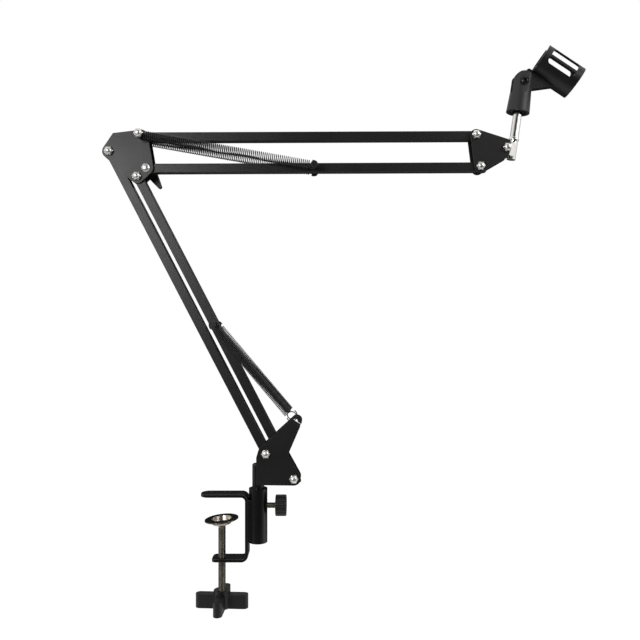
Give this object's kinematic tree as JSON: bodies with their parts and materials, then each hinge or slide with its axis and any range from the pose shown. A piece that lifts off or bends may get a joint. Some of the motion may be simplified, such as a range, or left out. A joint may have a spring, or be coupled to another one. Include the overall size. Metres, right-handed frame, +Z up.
{
  "type": "microphone boom arm",
  "caption": "Spring-balanced scissor arm on a desk clamp: parallel square tubes joined by flat plates carry a tilting stud and an open microphone clip.",
  "frame": {"origin": "desk face of the clamp's upper jaw, on the clamp screw's axis", "axes": "+Z up, +X along the upper arm towards the microphone, +Y across the arm away from the viewer"},
  "size_m": [0.4887, 0.054, 0.5709],
  "materials": {
    "powder_coat": "satin black powder coat",
    "black_plastic": "moulded, fine texture",
    "chrome_plate": "bright plate",
    "nickel_steel": "nickel plate",
    "spring_wire": "black oxide wire",
    "insert_steel": "black oxide",
    "nylon": "black nylon"
  },
  "bodies": {
    "clamp": {"clamp_frame": "powder_coat", "socket_tube": "powder_coat", "socket_welds": "powder_coat"},
    "pad": {"pressure_pad": "nickel_steel"},
    "screw": {"clamp_screw": "nickel_steel", "clamp_handle": "black_plastic"},
    "thumb": {"thumb_screw": "nickel_steel", "thumb_knob": "black_plastic"},
    "base": {"base_post": "powder_coat", "base_plate_front": "powder_coat", "base_plate_rear": "powder_coat", "base_bolts": "chrome_plate", "base_nuts": "chrome_plate", "base_washers": "nylon"},
    "lower_outer": {"lower_outer_bar": "powder_coat"},
    "lower_inner": {"lower_inner_bar": "powder_coat", "lower_spring_pin": "powder_coat"},
    "lower_caps": {"lower_spring_caps": "black_plastic"},
    "lower_springs": {"lower_spring_front": "spring_wire", "lower_spring_rear": "spring_wire"},
    "elbow": {"elbow_plate_front": "powder_coat", "elbow_plate_rear": "powder_coat", "elbow_bolts": "chrome_plate", "elbow_nuts": "chrome_plate", "elbow_washers": "nylon", "elbow_spring_bolt": "chrome_plate", "elbow_spring_nuts": "chrome_plate", "elbow_spring_sleeves": "powder_coat", "elbow_lock_bolt": "chrome_plate"},
    "wing": {"elbow_wing_nut": "black_plastic"},
    "upper_top": {"upper_top_bar": "powder_coat"},
    "upper_bottom": {"upper_bottom_bar": "powder_coat", "upper_spring_pin": "powder_coat"},
    "upper_caps": {"upper_spring_caps": "black_plastic"},
    "upper_springs": {"upper_spring_front": "spring_wire", "upper_spring_rear": "spring_wire"},
    "head": {"head_plate_front": "powder_coat", "head_plate_rear": "powder_coat", "head_bolts": "chrome_plate", "head_nuts": "chrome_plate", "head_washers": "nylon", "stud_screw": "chrome_plate", "stud_nut": "chrome_plate", "stud_washers": "nylon"},
    "stud": {"mic_stud": "chrome_plate"},
    "clip": {"clip_base": "black_plastic", "clip_insert": "insert_steel", "clip_screw": "chrome_plate", "clip_nut": "chrome_plate"},
    "cradle": {"clip_cradle": "black_plastic"}
  },
  "joints": [
    {"name": "pad_slide", "type": "slide", "parent": "clamp", "child": "pad", "axis": [0, 0, 1], "range_m": [-0.032, 0.02]},
    {"name": "clamp_turn", "type": "hinge", "parent": "pad", "child": "screw", "pos_m": [0, 0, -0.029], "axis": [0, 0, 1], "range_deg": [-9216, 5760]},
    {"name": "thumb_turn", "type": "hinge", "parent": "clamp", "child": "thumb", "pos_m": [0.0547, 0, -0.0097], "axis": [1, 0, 0], "range_deg": [0, 720]},
    {"name": "base_swivel", "type": "hinge", "parent": "clamp", "child": "base", "pos_m": [0.0369, 0, 0], "axis": [0, 0, 1], "continuous": true},
    {"name": "lower_arm", "type": "hinge", "parent": "base", "child": "lower_outer", "pos_m": [0.0453, 0, 0.0443], "axis": [0, 1, 0], "range_deg": [-6, 32]},
    {"name": "lower_inner_swing", "type": "hinge", "parent": "base", "child": "lower_inner", "pos_m": [0.07355, 0, 0.019], "axis": [0, 1, 0], "range_deg": [-6.01, 32.01]},
    {"name": "lower_spring_swing", "type": "hinge", "parent": "lower_inner", "child": "lower_caps", "pos_m": [-0.00703, 0, 0.17446], "axis": [0, 1, 0], "range_deg": [-2.59, 13.78]},
    {"name": "lower_spring_stretch", "type": "slide", "parent": "lower_caps", "child": "lower_springs", "axis": [0.646, 0, -0.7634], "range_m": [-0.01347, 0.00257], "deforming": ["lower_spring_front", "lower_spring_rear"]},
    {"name": "elbow_level", "type": "hinge", "parent": "lower_outer", "child": "elbow", "pos_m": [-0.11306, 0, 0.3498], "axis": [0, 1, 0], "range_deg": [-32.01, 6.01]},
    {"name": "wing_nut_turn", "type": "hinge", "parent": "elbow", "child": "wing", "pos_m": [-0.07605, 0, 0.3332], "axis": [0, 1, 0], "range_deg": [0, 360]},
    {"name": "upper_arm", "type": "hinge", "parent": "elbow", "child": "upper_top", "pos_m": [-0.08035, 0, 0.365], "axis": [0, 1, 0], "range_deg": [-38, 22]},
    {"name": "upper_bottom_swing", "type": "hinge", "parent": "elbow", "child": "upper_bottom", "pos_m": [-0.07605, 0, 0.3332], "axis": [0, 1, 0], "range_deg": [-38.01, 22.01]},
    {"name": "upper_spring_swing", "type": "hinge", "parent": "upper_bottom", "child": "upper_caps", "pos_m": [0.09434, 0, 0.33391], "axis": [0, 1, 0], "range_deg": [-0.49, 0.84]},
    {"name": "upper_spring_stretch", "type": "slide", "parent": "upper_caps", "child": "upper_springs", "axis": [-0.9845, 0, 0.1752], "range_m": [-0.0207, 0.012], "deforming": ["upper_spring_front", "upper_spring_rear"]},
    {"name": "head_level", "type": "hinge", "parent": "upper_top", "child": "head", "pos_m": [0.25764, 0, 0.36641], "axis": [0, 1, 0], "range_deg": [-22.01, 38.01]},
    {"name": "stud_tilt", "type": "hinge", "parent": "head", "child": "stud", "pos_m": [0.28894, 0, 0.35351], "axis": [0, 1, 0], "range_deg": [-35, 80]},
    {"name": "clip_turn", "type": "hinge", "parent": "stud", "child": "clip", "pos_m": [0.29623, 0, 0.35246], "axis": [0.1426, 0, 0.9898], "continuous": true},
    {"name": "clip_tilt", "type": "hinge", "parent": "clip", "child": "cradle", "pos_m": [0.30601, 0, 0.42036], "axis": [0, 1, 0], "range_deg": [-60, 20]}
  ],
  "couplings": [
    {"joint": "pad_slide", "follows": "clamp_turn", "m_per_rad": 0.00019894},
    {"joint": "lower_inner_swing", "follows": "lower_arm", "ratio": 1},
    {"joint": "lower_spring_swing", "follows": "lower_arm", "ratio": 0.4303},
    {"joint": "lower_spring_stretch", "follows": "lower_arm", "m_per_rad": -0.02402},
    {"joint": "elbow_level", "follows": "lower_arm", "ratio": -1},
    {"joint": "upper_bottom_swing", "follows": "upper_arm", "ratio": 1},
    {"joint": "upper_spring_swing", "follows": "upper_arm", "ratio": -0.0219},
    {"joint": "upper_spring_stretch", "follows": "upper_arm", "m_per_rad": 0.03113},
    {"joint": "head_level", "follows": "upper_arm", "ratio": -1}
  ]
}
